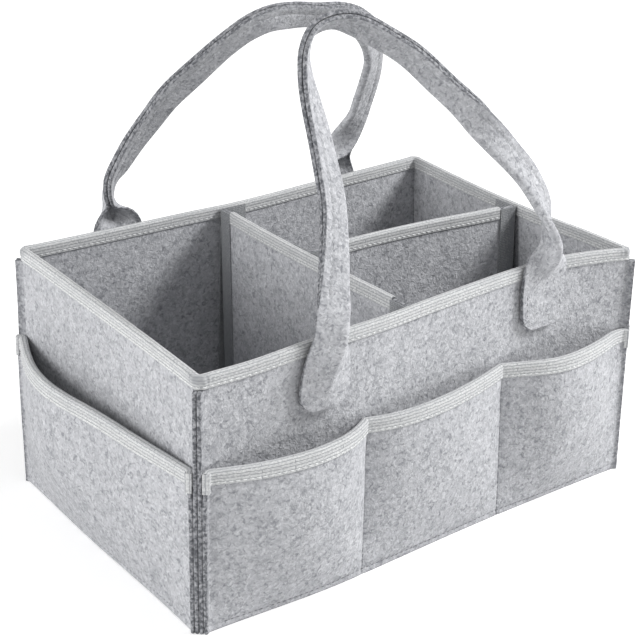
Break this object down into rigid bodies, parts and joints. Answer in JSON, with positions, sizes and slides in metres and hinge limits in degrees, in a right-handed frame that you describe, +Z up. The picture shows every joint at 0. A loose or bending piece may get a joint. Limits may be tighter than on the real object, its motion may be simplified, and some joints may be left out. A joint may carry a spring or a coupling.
{
  "type": "diaper caddy",
  "caption": "Open felt carry box with bound rim, outside pockets on every side, two folded felt carrying straps and a lift-out T-shaped divider.",
  "frame": {"origin": "middle of the underside, on the surface the caddy stands on", "axes": "+X along the long side to the right, +Y from the front pockets to the back, +Z up"},
  "size_m": [0.4426, 0.3086, 0.3859],
  "materials": {
    "felt": "heathered light grey needle felt, matte, 4 mm thick",
    "binding_tape": "pale grey woven binding tape, matte",
    "hook_tape": "grey woven tape covered with small plastic hooks",
    "loop_tape": "grey woven tape with a brushed loop pile"
  },
  "bodies": {
    "root": {"base_panel": "felt", "front_wall": "felt", "back_wall": "felt", "left_wall": "felt", "right_wall": "felt", "front_rim_binding": "binding_tape", "back_rim_binding": "binding_tape", "left_rim_binding": "binding_tape", "right_rim_binding": "binding_tape", "front_pocket_panel": "felt", "back_pocket_panel": "felt", "left_pocket_panel": "felt", "right_pocket_panel": "felt", "front_pocket_binding": "binding_tape", "back_pocket_binding": "binding_tape", "left_pocket_binding": "binding_tape", "right_pocket_binding": "binding_tape", "front_strap_left_end": "felt", "front_strap_right_end": "felt", "back_strap_left_end": "felt", "back_strap_right_end": "felt", "front_loop_strip": "loop_tape", "back_loop_strip": "loop_tape", "right_loop_strip": "loop_tape"},
    "front_handle": {"front_strap": "felt"},
    "back_handle": {"back_strap": "felt"},
    "cross_divider": {"cross_divider_panel": "felt", "cross_divider_binding": "binding_tape", "cross_divider_front_tab": "hook_tape", "cross_divider_back_tab": "hook_tape", "cross_loop_strip": "loop_tape"},
    "long_divider": {"long_divider_panel": "felt", "long_divider_binding": "binding_tape", "long_divider_wall_tab": "hook_tape", "long_divider_cross_tab": "hook_tape"}
  },
  "joints": [
    {"name": "front_handle_swing", "type": "hinge", "parent": "root", "child": "front_handle", "pos_m": [0, -0.13295, 0.194], "axis": [1, 0, 0], "range_deg": [-8, 165]},
    {"name": "back_handle_swing", "type": "hinge", "parent": "root", "child": "back_handle", "pos_m": [0, 0.13295, 0.194], "axis": [-1, 0, 0], "range_deg": [-10, 165]},
    {"name": "cross_divider_lift", "type": "slide", "parent": "root", "child": "cross_divider", "axis": [0, 0, 1], "range_m": [0, 0.1]},
    {"name": "long_divider_lift", "type": "slide", "parent": "root", "child": "long_divider", "axis": [0, 0, 1], "range_m": [0, 0.19]}
  ]
}
